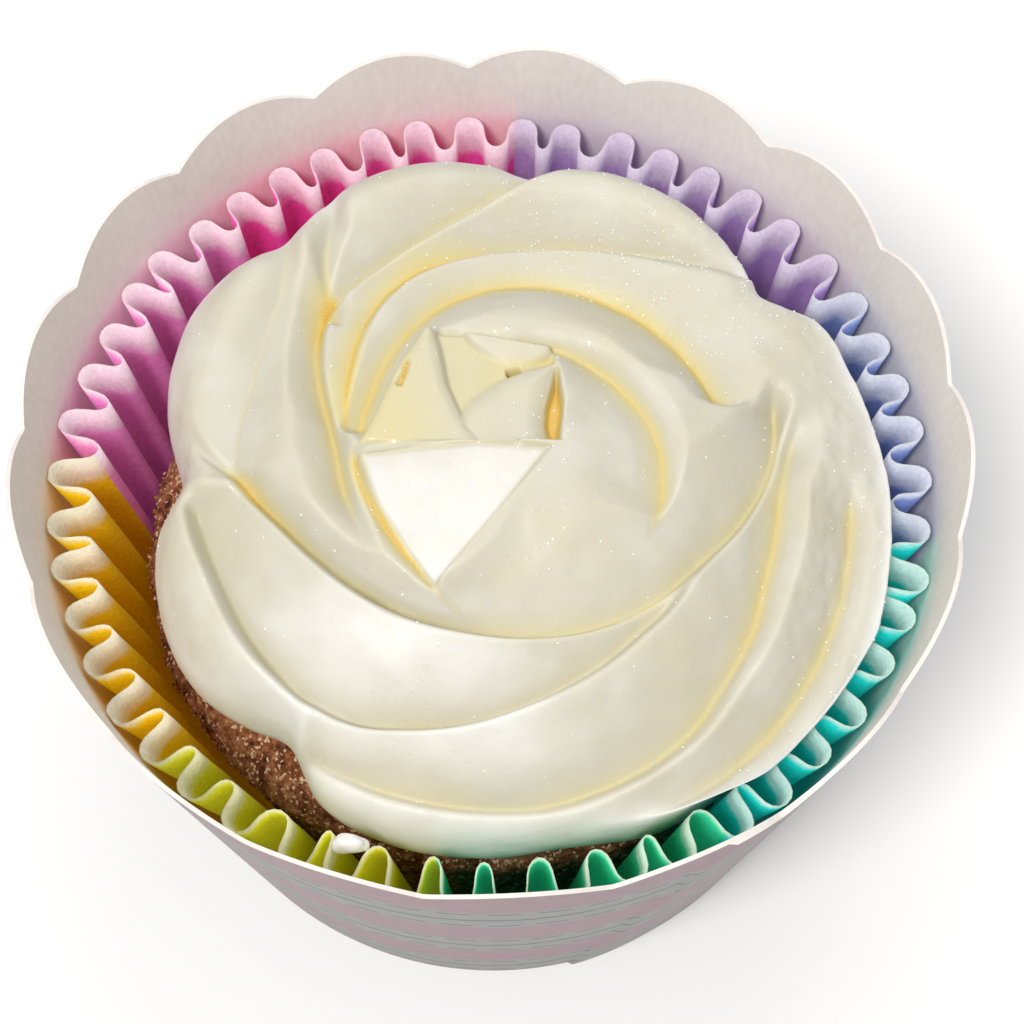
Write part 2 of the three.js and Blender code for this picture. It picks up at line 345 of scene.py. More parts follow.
# %% Spin the section and shape the rim
def card_cup():
    floor_z = RECESS + CARD
    rows = 22
    inner = [(wall(z) - CARD, z) for z in
             [mix(floor_z, NOTCH_Z, i / rows) for i in range(rows + 1)]]
    outer = [(wall(z), z) for z in [mix(NOTCH_Z, 0, i / rows) for i in range(rows + 1)]]
    section = ([(0, floor_z), (FLOOR_RING, floor_z)] + inner + outer
               + [(FOOT_R - FOOT_BAND, 0), (FOOT_R - FOOT_BAND, RECESS), (0, RECESS)])
    bm = bmesh.new()
    line = [bm.verts.new(Vector((r, 0, z)) * MM) for r, z in section]
    edges = [bm.edges.new(pair) for pair in zip(line, line[1:])]
    bmesh.ops.spin(bm, geom=line + edges, axis=(0, 0, 1), cent=(0, 0, 0), angle=math.tau,
                   steps=SCALLOPS * 24, use_merge=True, use_duplicate=False)
    bmesh.ops.remove_doubles(bm, verts=bm.verts, dist=0.00001)
    bmesh.ops.recalc_face_normals(bm, faces=bm.faces)
    for v in bm.verts:
        r, z = v.co.xy.length / MM, v.co.z / MM
        # the floor stays flat and round; only the wall is shaped
        if r < FOOT_R - FOOT_BAND - 0.1 and z < floor_z + 0.1:
            continue
        deg = math.degrees(math.atan2(v.co.y, v.co.x)) % 360
        outside = abs(r - wall(z)) < CARD / 2
        off = r - wall(z)
        if z > floor_z:
            z = mix(floor_z, rim_z(deg), (z - floor_z) / (NOTCH_Z - floor_z))
        if z > 0.01 or outside:
            lift = seam_lift(deg, z) if outside else 0.0
            v.co = at(deg, wall(z) + off + lift - dent(deg, z), z)
    for face in bm.faces:
        mid = face.calc_center_median()
        r, z = mid.xy.length / MM, mid.z / MM
        outward = face.normal.xy.dot(mid.xy) > 0
        face.material_index = 1 if outward and r > wall(z) - CARD / 2 - DENT else 0
    for edge in bm.edges:
        if len(edge.link_faces) == 2 and edge.calc_face_angle() > SHARP:
            edge.smooth = False
    return finish_piece(bm, "card_cup_printed", [bleached_board(), printed_board()],
                        "card_cup")


card_cup()

# %% [markdown]
# ## Greaseproof paper
# The case is one disc of thin paper, printed in eight soft colours, with a pale margin at
# its edge, and pressed into pleats. The face towards the sponge has the pale margin; the
# face towards the card is coloured right up. Thin paper lets a little light through, which
# a weak glow in the paper's own tint stands for.

# %% Pleated case paper
CASE_Z0, CASE_Z1 = 3.9, 37.7
PALE_MARGIN = 3.2                    # mm, on the sponge side
CARD_MARGIN = 0.5


def case_paper(name, margin, through):
    # calendered paper has a low sheen; margin is how far down its pale edge reaches, and
    # through is the strength of a painted glow in the paper's own tint, standing for light
    # through the sheet
    material, tree, shader = new_material(name)
    place = add(tree, "ShaderNodeTexCoord").outputs["Object"]
    axes = add(tree, "ShaderNodeSeparateXYZ", links={"Vector": place}).outputs
    pales = case_wheel(tree, place, 1)
    fulls = case_wheel(tree, place, 2)
    blots = add(tree, "ShaderNodeTexNoise", inputs={"Scale": 420.0, "Detail": 3.0},
                links={"Vector": place}).outputs["Fac"]
    height = maths(tree, "MULTIPLY", axes["Z"], 1000.0)
    below = maths(tree, "SUBTRACT", CASE_Z1, height)
    ragged = maths(tree, "MULTIPLY_ADD", maths(tree, "SUBTRACT", blots, 0.5), 2.6, below)
    dyed = add(tree, "ShaderNodeMapRange", {"interpolation_type": "SMOOTHSTEP"},
               {"From Min": margin - 0.9, "From Max": margin + 0.9}, {"Value": ragged})
    tint = add(tree, "ShaderNodeMix", {"data_type": "RGBA"},
               links={"Factor": dyed.outputs["Result"], "A": pales, "B": fulls}).outputs[2]
    # painted shade: the paper is darkened further down into the case, where less light reaches
    deep = add(tree, "ShaderNodeMapRange", {"interpolation_type": "SMOOTHSTEP"},
               {"From Min": 5.0, "From Max": 16.0, "To Max": 0.12}, {"Value": ragged})
    dark = add(tree, "ShaderNodeMix", {"data_type": "RGBA", "blend_type": "MULTIPLY"},
               {"B": colour("#b06a78")},
               {"Factor": deep.outputs["Result"], "A": tint}).outputs[2]
    fibres = add(tree, "ShaderNodeTexNoise", inputs={"Scale": 2600.0, "Detail": 2.0},
                 links={"Vector": place}).outputs["Fac"]
    shade = ramp(tree, fibres, [(0.3, colour("#e6e6e6")), (0.7, colour("#ffffff"))])
    paper = add(tree, "ShaderNodeMix", {"data_type": "RGBA", "blend_type": "MULTIPLY"},
                {"Factor": 1.0}, {"A": dark, "B": shade}).outputs[2]
    tree.links.new(paper, shader.inputs["Base Color"])
    # painted glow: the paper emits light in its own tint
    tree.links.new(paper, shader.inputs["Emission Color"])
    shader.inputs["Emission Strength"].default_value = through
    bump = add(tree, "ShaderNodeBump", inputs={"Strength": 0.2, "Distance": 0.0001},
               links={"Height": fibres})
    tree.links.new(bump.outputs["Normal"], shader.inputs["Normal"])
    shader.inputs["Roughness"].default_value = 0.55
    shader.inputs["IOR"].default_value = 1.45
    shader.inputs["Subsurface Weight"].default_value = 0.85
    shader.inputs["Subsurface Radius"].default_value = (1.0, 1.0, 1.0)
    shader.inputs["Subsurface Scale"].default_value = 0.0008
    return material


def paper_edge():
    # the cut edge of the paper: bare white fibre, seen as a hairline
    material, tree, shader = new_material("paper_cut_edge")
    place = add(tree, "ShaderNodeTexCoord").outputs["Object"]
    fibres = add(tree, "ShaderNodeTexNoise", inputs={"Scale": 1500.0},
                 links={"Vector": place}).outputs["Fac"]
    edge = ramp(tree, fibres, [(0.3, colour("#d9d8cf")), (0.7, colour("#efeee6"))])
    stained = add(tree, "ShaderNodeMix", {"data_type": "RGBA", "blend_type": "MULTIPLY"},
                  {"Factor": 0.8}, {"A": edge, "B": case_wheel(tree, place, 1)}).outputs[2]
    tree.links.new(stained, shader.inputs["Base Color"])
    shader.inputs["Roughness"].default_value = 0.7
    return material


# %% [markdown]
# ## Pleated case
# A circle with sixteen points to a pleat is moved into the pleats' plan and extruded
# upwards row by row; each row works its plan out again, so the pleats open towards the
# top. No two pleats are pressed alike: each has its own depth, lean and edge height.

# %% The case's sizes
PLEATS = 50
PER_PLEAT = 16
PAPER = 0.11
CASE_OUT = (25.5, 33.5)              # outer folds at the floor and at the top edge
CASE_IN = (24.65, 30.4)
PLEAT_WAIST, PLEAT_BULGE = 0.8, 0.3
LEAN, LEAN_DEG = 0.3, 232            # the pleats at the front left lean out a little more
CARD_GAP = 0.2                       # the least room between a fold and the card
random.seed(50)
PLEAT_WAYS = [(random.uniform(-0.5, 0.5), random.uniform(-0.5, 0.5), random.uniform(-0.5, 0.5))
              for _ in range(PLEATS)]


def pleat_way(phase, which):
    # the pleats' own small differences, blended from one to the next
    k = math.floor(phase)
    return mix(PLEAT_WAYS[k % PLEATS][which], PLEAT_WAYS[(k + 1) % PLEATS][which],
               ease(0.25, 0.75, phase - k))


def pleat_point(phase, up):
    s = phase - math.floor(phase)
    near = math.cos(math.radians(phase * 360 / PLEATS - LEAN_DEG))
    lean = LEAN * up * ease(0.3, 0.9, near)
    out = mix(CASE_OUT[0], CASE_OUT[1], up) + lean
    fold = mix(CASE_IN[0], CASE_IN[1], up)
    half = (out - fold) / 2 * (1 + 0.3 * pleat_way(phase, 0) * up)
    sway = (PLEAT_WAIST * math.sin(4 * math.pi * s) / (4 * math.pi)
            + PLEAT_BULGE * math.sin(2 * math.pi * s) / (2 * math.pi)
            + 0.22 * pleat_way(phase, 1) * up ** 1.5)
    deg = (phase + sway) * 360 / PLEATS
    z = mix(CASE_Z0, CASE_Z1 + 0.5 * pleat_way(phase, 2), up)
    wave = 0.12 * wobble(deg / 9, z / 6, 0, 3)
    r = (out + fold) / 2 + half * math.cos(math.tau * s) + wave * up
    return at(deg, min(r, wall(z) - CARD - CARD_GAP - dent(deg, z)), z)


# %% Extrude the pleats
def paper_case():
    rows = 14
    bm = bmesh.new()
    place = bm.verts.layers.int.new("place round the case")
    ring = bmesh.ops.create_circle(bm, cap_ends=True, radius=1.0,
                                   segments=PLEATS * PER_PLEAT)["verts"]
    for i, v in enumerate(ring):
        v[place] = i
    for row in range(rows + 1):
        for v in ring:
            v.co = pleat_point(v[place] / PER_PLEAT, row / rows)
        if row == rows:
            break
        rim = list({e for v in ring for e in v.link_edges
                    if row == 0 or e.is_boundary})
        grown = bmesh.ops.extrude_edge_only(bm, edges=rim)["geom"]
        ring = [g for g in grown if isinstance(g, bmesh.types.BMVert)]
    bmesh.ops.poke(bm, faces=[f for f in bm.faces if len(f.verts) > 4])
    bmesh.ops.recalc_face_normals(bm, faces=bm.faces)
    piece = finish_piece(bm, "paper_case_pleated",
                         [case_paper("greaseproof_paper_outside", CARD_MARGIN, 0.12),
                          case_paper("greaseproof_paper_inside", PALE_MARGIN, 0.04),
                          paper_edge()],
                         "paper_case")
    thick = piece.modifiers.new("paper thickness", "SOLIDIFY")
    thick.thickness = PAPER * MM
    thick.offset = 0.0
    thick.material_offset = 1
    thick.material_offset_rim = 2
    return piece


paper_case()

# %% [markdown]
# ## Chocolate sponge
# A baked crumb is full of small torn bubbles. Painted shade makes it nearly black in the holes,
# with a warm brown on the walls between them, and sugar that glints is painted pale. The plug
# follows the case's inner folds and its top is domed; noise roughens it in the mesh and in a
# finer bump.

# %% Chocolate crumb
def chocolate_crumb():
    material, tree, shader = new_material("chocolate_sponge_crumb")
    place = add(tree, "ShaderNodeTexCoord").outputs["Object"]
    crumb = add(tree, "ShaderNodeTexNoise", inputs={"Scale": 1300.0, "Detail": 5.0,
                                                   "Roughness": 0.7},
                links={"Vector": place}).outputs["Fac"]
    patches = add(tree, "ShaderNodeTexNoise", inputs={"Scale": 220.0, "Detail": 3.0},
                  links={"Vector": place}).outputs["Fac"]
    tone = maths(tree, "MULTIPLY_ADD", patches, 0.35, maths(tree, "MULTIPLY", crumb, 0.65))
    # painted shade: where the crumb noise dips into holes, and its bump with it, the brown goes
    # nearly black
    brown = ramp(tree, tone, [(0.38, colour("#2f180e")), (0.47, colour("#85492c")),
                              (0.56, colour("#b07650")), (0.64, colour("#e2b286"))])
    # sugar glints: one cell in ten of a 0.2 mm pattern is glossy and painted pale, a painted
    # highlight
    cells = add(tree, "ShaderNodeTexVoronoi", inputs={"Scale": 4500.0},
                links={"Vector": place}).outputs["Color"]
    glint = maths(tree, "GREATER_THAN", add(tree, "ShaderNodeSeparateXYZ",
                                            links={"Vector": cells}).outputs["X"], 0.9)
    crumb_tint = add(tree, "ShaderNodeMix", {"data_type": "RGBA"},
                     {"B": colour("#f3cfae")},
                     {"Factor": glint, "A": brown}).outputs[2]
    tree.links.new(crumb_tint, shader.inputs["Base Color"])
    rough = maths(tree, "MULTIPLY_ADD", glint, -0.6, 0.85)
    tree.links.new(rough, shader.inputs["Roughness"])
    bump = add(tree, "ShaderNodeBump", inputs={"Strength": 1.0, "Distance": 0.0005},
               links={"Height": crumb})
    tree.links.new(bump.outputs["Normal"], shader.inputs["Normal"])
    shader.inputs["IOR"].default_value = 1.45
    return material


# %% The sponge's sizes
CAKE_Z0 = 4.6
CAKE_EDGE_Z = 26.6
CAKE_TOP_Z = 35.0
CLEAR = 0.4


def inner_fold(z):
    return mix(*CASE_IN, (z - CASE_Z0) / (CASE_Z1 - CASE_Z0)) - 0.15


CAKE_R = inner_fold(CAKE_EDGE_Z) - CLEAR


def dome(r):
    return CAKE_TOP_Z - (CAKE_TOP_Z - CAKE_EDGE_Z) * (min(r, CAKE_R) / CAKE_R) ** 2.6


# %% Shape a ball into the sponge
def sponge():
    bm = bmesh.new()
    bmesh.ops.create_uvsphere(bm, u_segments=400, v_segments=160, radius=1.0)
    # how far up the ball, from 0 to 1, the sponge's side begins and ends
    side_from, side_to = 0.12, 0.42
    for v in bm.verts:
        deg = math.degrees(math.atan2(v.co.y, v.co.x))
        up = math.acos(clamp(-v.co.z, -1, 1)) / math.pi
        if up < side_from:
            r, z = (inner_fold(CAKE_Z0) - CLEAR - 1) * up / side_from, CAKE_Z0
        elif up < side_to:
            t = (up - side_from) / (side_to - side_from)
            z = mix(CAKE_Z0 + 0.6, CAKE_EDGE_Z - 0.8, t)
            r = inner_fold(z) - CLEAR
        else:
            t = (up - side_to) / (1 - side_to)
            r = CAKE_R * (1 - t) ** 0.9
            z = dome(r) - 0.8 * (r / CAKE_R) ** 30
        p = at(deg, r, z)
        q = p / MM
        coarse = wobble(q.x / 3.2, q.y / 3.2, q.z / 3.2, 1)
        fine = wobble(q.x / 0.8, q.y / 0.8, q.z / 0.8, 2)
        out = Vector((q.x, q.y, 14 * ease(24, 35, q.z))).normalized()
        v.co = p + out * (0.35 * coarse + 0.25 * fine - 0.3) * MM * ease(CAKE_Z0, 8, z)
    return finish_piece(bm, "sponge_crumb", [chocolate_crumb()], "cake")


cake = sponge()

# %% [markdown]
# ## Buttercream
# Butter and sugar whipped pale: ivory, translucent near the surface, with a satin skin and fine
# undissolved sugar that sparkles. The yellow light a crease folds back on itself is painted: the
# mesh carries how much painted crease light and shade each point gets, and the colour follows
# that.

# %% Whipped buttercream
def buttercream():
    material, tree, shader = new_material("whipped_buttercream")
    place = add(tree, "ShaderNodeTexCoord").outputs["Object"]
    deep = add(tree, "ShaderNodeAttribute", {"attribute_name": "crease"}).outputs["Fac"]
    clouds = add(tree, "ShaderNodeTexNoise", inputs={"Scale": 160.0, "Detail": 3.0},
                 links={"Vector": place}).outputs["Fac"]
    mottled = maths(tree, "MULTIPLY_ADD", maths(tree, "SUBTRACT", clouds, 0.5), 0.16, deep)
    # painted light and shade: cream, then yellow light deeper in the creases, nearly brown in
    # the deepest, white on the lit laps
    cream = ramp(tree, mottled, [(0.0, colour("#e3e3e1")), (0.15, colour("#c9c5b5")),
                                 (0.3, colour("#cfc69b")), (0.5, colour("#d8c072")),
                                 (0.8, colour("#cc981c")), (1.0, colour("#4a380c"))])
    tree.links.new(cream, shader.inputs["Base Color"])
    shader.inputs["Subsurface Weight"].default_value = 0.35
    shader.inputs["Subsurface Radius"].default_value = (1.0, 0.85, 0.5)
    shader.inputs["Subsurface Scale"].default_value = 0.001
    # undissolved sugar: facets that catch light, drawn 0.4 mm wide, twice a real grain
    grains = add(tree, "ShaderNodeTexVoronoi", inputs={"Scale": 2600.0},
                 links={"Vector": place}).outputs
    pick = maths(tree, "GREATER_THAN",
                 add(tree, "ShaderNodeSeparateXYZ", links={"Vector": grains["Color"]})
                 .outputs["X"], 0.86)
    pick = maths(tree, "MULTIPLY", pick, maths(tree, "GREATER_THAN", clouds, 0.52))
    facet = maths(tree, "MULTIPLY", pick, maths(tree, "SUBTRACT", 0.45, grains["Distance"],
                                                clamped=True))
    skin = add(tree, "ShaderNodeTexNoise", inputs={"Scale": 500.0, "Detail": 3.0},
               links={"Vector": place}).outputs["Fac"]
    height = maths(tree, "MULTIPLY_ADD", facet, 0.35, maths(tree, "MULTIPLY", skin, 0.5))
    bump = add(tree, "ShaderNodeBump", inputs={"Strength": 0.6, "Distance": 0.0003},
               links={"Height": height})
    tree.links.new(bump.outputs["Normal"], shader.inputs["Normal"])
    rough = maths(tree, "MULTIPLY_ADD", pick, -0.2, 0.48)
    tree.links.new(rough, shader.inputs["Roughness"])
    shader.inputs["IOR"].default_value = 1.46
    return material


# %% [markdown]
# ## The piped rose
# A rose is one ribbon of icing wound outwards from a bud, each turn lapping the one before.
# Seen as a landscape, the laps are valleys between soft ridges. A valley has a depth, and
# a width on either side: narrow where the next petal's edge stands up steeply, wide where
# a petal's face rolls down into it. A fine ball is moved point by point into that shape.

# %% The rose's outline and valleys
SWIRL = Vector((2.0, -2.0))
SWIRL_TOP, SWIRL_FALL = 47.3, 5.0
ROLL = 3.2
LIFT = 4.2
UNDERCUT = 2.4
FALL_R = 22.0                        # mm from the bud, where the crown is SWIRL_FALL lower
FLANK_Z = 34.2                       # the outer turn's widest line at the front
OVER_EDGE, BACK_RISE = 5.6, 6.0      # how much higher it is at the right and at the back
OVERHANG, HANG_FROM = 1.8, 1.0       # mm outwards for each mm above this over the case
# painted light: the laps on this side of the bud, towards the key light, are painted whitest
PAINTED_LIT_SIDE = 4.3                     # radians; the laps that face this way are the whitest
BUD_REACH = 14.0                     # mm; beyond it there are only valleys
TORN_TURN = 40                       # degrees past the overhang, where the last turn tore
# the outline: degrees round the bud, radius; notches between the lobes
OUTLINE = [
    (0, 28.0), (20, 27.2), (30, 26.8), (35, 25.4), (40, 24.4), (46, 25.9), (57, 27.3),
    (72, 28.1), (80, 28.0),
    (87, 27.2), (96, 28.6), (104, 29.4), (112, 29.8), (122, 29.2), (131, 28.2), (140, 29.8),
    (150, 30.4), (163, 28.8), (177, 25.9), (186, 27.6), (196, 28.2), (210, 27.9),
    (220, 26.3), (228, 25.0), (238, 27.0), (250, 27.3), (264, 26.8), (278, 26.4),
    (296, 27.6), (314, 29.0), (330, 29.1), (345, 28.3),
]
OUTLINE = ([(a - 360, r) for a, r in OUTLINE[-2:]] + OUTLINE
           + [(a + 360, r) for a, r in OUTLINE[:2]])
# each valley: its depth, its width towards the bud and outwards, the degrees over which it
# fades in and out, how much yellow light is painted in it, and its course. Depth, width and
# that painted glow are a number or, where they change on the way, a list of degrees with the
# value there.
VALLEYS = [
    # the outer laps, front and right
    (2.0, 3.8, 1.4, 12, 10, 0.5, [(276, 27.7), (292, 27.2), (305, 26.7), (322, 26.0),
                                 (334, 25.5), (351, 25.0), (364, 24.7)]),
    (2.6, 5.5, [(230, 1.1), (310, 1.2), (350, 2.0)], 3, 10,
     [(230, 0.35), (290, 0.45), (340, 0.6), (376, 0.4)],
     [(230, 25.6), (240, 25.5), (259, 25.0), (280, 24.5), (301, 23.2), (313, 21.8),
      (326, 20.7), (334, 19.9), (345, 19.5), (357, 19.5), (365, 20.3), (376, 21.8)]),
    (3.1, 7.5, 0.7, 6, 20, 0.35, [(180, 24.6), (199, 23.3), (220, 23.0), (238, 22.3),
                                  (249, 21.0), (259, 19.8), (272, 18.2), (282, 17.2),
                                  (295, 16.2), (305, 15.6), (330, 15.2)]),
    (3.1, [(168, 2.2), (236, 2.2), (275, 8.0), (360, 6.0), (383, 2.0)], 0.9, 14, 8,
     [(175, 0.4), (182, 0.9), (192, 0.7), (215, 0.45)],
     [(168, 25.7), (175, 23.5), (180, 21.0), (186, 19.5), (195, 17.7), (205, 16.4),
      (215, 15.5), (230, 14.6), (253, 13.7), (272, 13.6), (292, 13.9), (313, 14.5),
      (330, 15.2), (346, 16.8), (361, 18.6), (372, 19.8), (383, 20.6)]),
    # the lobes at the back left
    (2.0, 3.6, 3.2, 6, 6, 0.3, [(128, 28.6), (138, 24.5), (147, 23.0), (157, 21.9),
                                (172, 21.3), (184, 21.0)]),
    (2.6, 5.0, [(119, 3.5), (128, 3.0), (139, 1.3)], 4, 2,
     [(119, 0.0), (129, 0.4), (138, 1.0), (140, 1.0)],
     [(119, 29.6), (123, 27.0), (129, 24.0), (134, 21.5), (140, 19.8)]),
    (3.0, 0.8, 5.5, 2, 14, 0.45, [(76, 29.8), (82, 27.8), (90, 25.4), (100, 23.3),
                                  (113, 21.9), (126, 21.0), (136, 20.4), (150, 18.0)]),
    (3.0, 1.0, [(130, 4.5), (170, 3.0), (225, 1.8)], 4, 40,
     [(130, 1.1), (138, 1.0), (150, 0.6), (225, 0.5)],
     [(130, 21.3), (137, 20.4), (147, 18.2), (157, 16.0), (167, 14.3), (178, 13.3),
      (188, 12.9), (205, 12.7), (225, 13.1)]),
    # the laps round the bud, back
    ([(42, 3.3), (90, 3.1), (113, 2.2), (175, 1.9)], 1.4, 5.0, 3, 10,
     [(42, 0.3), (88, 0.45), (112, 0.8), (150, 0.8), (175, 0.6)],
     [(42, 26.4), (45, 25.0), (59, 22.5), (80, 20.7), (97, 19.9), (113, 19.3), (126, 18.1),
      (136, 16.6), (147, 15.0), (157, 13.9), (175, 12.5)]),
    (3.0, [(15, 0.8), (22, 1.8), (40, 4.2), (120, 3.9), (176, 3.0)], 4.2, 4, 10, 0.65,
     [(15, 16.2), (20, 15.8), (40, 16.0), (63, 16.2), (84, 16.3), (97, 16.1),
      (109, 15.6), (120, 14.8), (136, 13.5), (153, 12.4), (176, 11.8)]),
    ([(312, 0.9), (350, 1.8), (409, 2.2), (430, 1.6), (470, 1.3), (537, 1.1)],
     [(312, 7.0), (386, 6.0), (409, 3.5), (430, 1.5), (537, 0.5)], 1.4, 30, 6, 0.6,
     [(312, 11.6), (336, 11.1), (354, 10.6), (373, 10.1), (394, 9.5), (418, 9.1),
      (436, 8.9), (455, 8.9), (472, 9.9), (483, 11.4), (496, 11.1), (509, 10.8),
      (523, 10.7), (538, 11.4)]),
    (1.2, 0.7, 1.0, 8, 20, [(176, 0.7), (229, 0.8), (245, 0.35), (268, 0.2)],
     [(176, 12.2), (194, 11.6), (209, 11.2), (229, 11.5), (238, 12.0), (248, 12.5),
      (258, 13.0), (268, 13.4)]),
]
# The bud, in mm from its centre. Its rim; then its petals: the height at the centre, the
# slopes to the right and to the back, how far the edge rolls, and the edges that bound it,
# each with the petal on its right; then narrow slits: depth, half width, glow and course.
BUD_RIM = [(-11.6, 0.1), (-10.4, 3.1), (-9.4, 5.7), (-8.2, 7.9), (-6.9, 9.7), (-4.2, 9.5),
           (2.3, 8.5), (2.9, 6.0), (3.2, 3.4), (2.9, 0.1)]
BUD_PETALS = [
    (44.9, 0.0, 0.0, 0.1, []),
    (45.6, -0.05, 0.0, 0.1, [[(2.6, 9.0), (2.6, 6.0), (1.2, 3.0), (1.6, -1.0)]]),
    (46.6, 0.0, 0.09, 0.9, [[(-11.6, 0.1), (-10.2, 3.1), (-9.2, 5.6), (-8.0, 7.7), (-6.9, 9.7)],
                            [(-6.6, 9.9), (-5.9, 7.6), (-5.3, 4.8), (-3.9, 1.6), (-1.6, -1.2)]]),
    (46.2, 0.02, 0.10, 1.7, [[(-5.2, 2.2), (-3.6, 3.9), (-1.4, 5.4), (0.1, 6.2), (2.6, 6.9)],
                             [(2.7, 6.9), (2.5, 5.6), (1.95, 3.4), (1.9, 1.9), (2.5, -0.3)]]),
    (42.7, 0.0, 0.43, 0.4, [[(-0.2, 6.3), (-3.6, 8.6), (-4.2, 9.9)],
                            [(2.2, 9.6), (2.4, 7.9), (-0.1, 6.3)]]),
]
BUD_SLITS = [
    (3.5, 0.3, 1.0, [(-0.7, 6.3), (0.0, 6.35)]),
    (1.2, 0.3, 0.7, [(-8.7, 4.7), (-8.3, 5.8), (-8.2, 6.5)]),
]
# the flat petal in front of the bud: its corners, and how it slopes to the front
FLAT_PETAL = [(-12.0, 0.2), (-11.2, 0.5), (-3.2, 0.0), (2.8, 0.6), (3.3, 0.3), (-1.2, -5.0),
              (-5.6, -10.6), (-6.1, -10.3), (-7.6, -8.6), (-10.1, -4.8)]
FLAT_TOP, FLAT_SLOPE = 46.9, 0.23


# %% The rose's landscape
def outline(deg):
    return through(OUTLINE, deg % 360)


def value_at(value, angle):
    # a plain number, or one that changes round the bud, given at some degrees
    if isinstance(value, float):
        return value
    for (a, v), (b, w) in zip(value, value[1:]):
        if angle <= b:
            return mix(v, w, ease(a, b, angle))
    return value[-1][1]


def valley_cut(deg, r):
    # how deep the valleys cut here, and how much yellow light is painted in them
    cut, glow = 0.0, 0.0
    for depth, inside, outside, fade_in, fade_out, tint, course in VALLEYS:
        first, last = course[0][0], course[-1][0]
        for a in (deg % 360, deg % 360 + 360):
            bottom = through(course, a)
            if bottom is None:
                continue
            off = r - bottom
            width, far = ((value_at(outside, a), off) if off > 0
                          else (value_at(inside, a), -off))
            gentle = ease(1.2, 2.6, width)
            width *= mix(1.6, 1.15, gentle)
            if far >= width:
                continue
            fade = ease(first, first + fade_in, a) * (1 - ease(last - fade_out, last, a))
            # sharp at the bottom, rounded where it meets the crest
            lap = mix(1.9, 1.45, gentle)
            cut = max(cut, value_at(depth, a) * fade * (1 - far / width) ** lap)
            shine = 0.3 * math.exp(-far / 0.2) + 0.7 * math.exp(-far / (0.25 + 0.36 * width))
            glow = max(glow, value_at(tint, a) * fade * shine)
    return cut, 0.8 * glow


def from_line(x, y, points):
    # distance from a run of points, and whether that is to the left of it
    best, left = 99.0, False
    for (ax, ay), (bx, by) in zip(points, points[1:]):
        dx, dy = bx - ax, by - ay
        t = clamp(((x - ax) * dx + (y - ay) * dy) / (dx * dx + dy * dy))
        far = math.hypot(x - ax - t * dx, y - ay - t * dy)
        if far < best:
            best, left = far, dx * (y - ay) - dy * (x - ax) > 0
    return best, left


def inside_by(x, y, corners):
    # how far inside a clockwise outline a point lies, in mm; negative outside
    best = 99.0
    for (ax, ay), (bx, by) in zip(corners, corners[1:] + corners[:1]):
        dx, dy = bx - ax, by - ay
        best = min(best, (dy * (x - ax) - dx * (y - ay)) / math.hypot(dx, dy))
    return best


def bud_height(x, y):
    # the highest petal counts; the lower it lies, and the further left, the more yellow light
    # and shade is painted in it
    z = 0.0
    for top, right, back, roll, edges in BUD_PETALS:
        inside = 9.0
        for points in edges:
            far, left = from_line(x, y, points)
            inside = min(inside, -far if left else far)
        slump = clamp(1 - inside / roll)
        z = max(z, top + right * x + back * y - 0.45 * roll * slump ** 2
                + 3.5 * min(0.0, inside))
    glow = 0.18 + 0.1 * ease(-4, -9, x) + 0.42 * ease(0.5, 1.9, 46.7 - z)
    for depth, half, tint, points in BUD_SLITS:
        near = clamp(1 - from_line(x, y, points)[0] / half) ** 1.5
        z -= depth * near
        glow = max(glow, tint * ease(0.0, 0.7, near))
    return z, glow


def over_edge(deg):
    # the outer turn at the right hangs over the case
    return ease(0.25, 0.8, math.cos(math.radians(deg - 340)))


def back_lift(deg):
    # the lobes at the back lean up against the case
    return ease(0.1, 0.95, math.sin(math.radians(deg)))


def flank_z(deg):
    return FLANK_Z + OVER_EDGE * over_edge(deg) + BACK_RISE * back_lift(deg)


def icing_top(deg, r):
    # height of the icing, and how much light and shade is painted on it here, from 0 to 1
    a = math.radians(deg)
    x, y = r * math.cos(a), r * math.sin(a)
    cut, glow = valley_cut(deg, r)
    z = SWIRL_TOP - SWIRL_FALL * (r / FALL_R) ** 2 - cut
    z += LIFT * back_lift(deg) * ease(19, 27, r)
    # painted light and shade: laps away from the key light are painted a greyer cream
    white = ease(0.75, 1.0, math.cos(a - PAINTED_LIT_SIDE)) * ease(12, 17, r)
    glow = max(glow, 0.15 - 0.13 * white)
    if r < BUD_REACH:
        bud, bud_glow = bud_height(x, y)
        within = ease(-0.15, 0.15, inside_by(x, y, BUD_RIM))
        face = inside_by(x, y, FLAT_PETAL)
        z = mix(mix(z, bud, within), FLAT_TOP + FLAT_SLOPE * y, ease(-0.15, 0.15, face))
        # painted light: the flat petal takes no crease colour, only a little painted shade that
        # grows towards its back
        glow = mix(glow, bud_glow, within) * (1 - ease(0.0, 0.6, face))
        glow += (0.03 + 0.05 * ease(-7, 0, y)) * ease(-0.4, 0.3, face)
    return z, clamp(glow)


# %% Shape a ball into the rose
def icing_point(deg, r, z):
    p = at(deg, r, z) / MM
    x, y = p.x + SWIRL.x, p.y + SWIRL.y
    out = math.hypot(x, y)
    # inside the case the icing stops short of the pleats; above it, it may lean out
    limit = inner_fold(min(z, CASE_Z1)) - CLEAR
    limit += OVERHANG * max(0.0, z - CASE_Z1 - HANG_FROM)
    keep = min(1.0, limit / out) if out else 1.0
    return Vector((x * keep, y * keep, z))


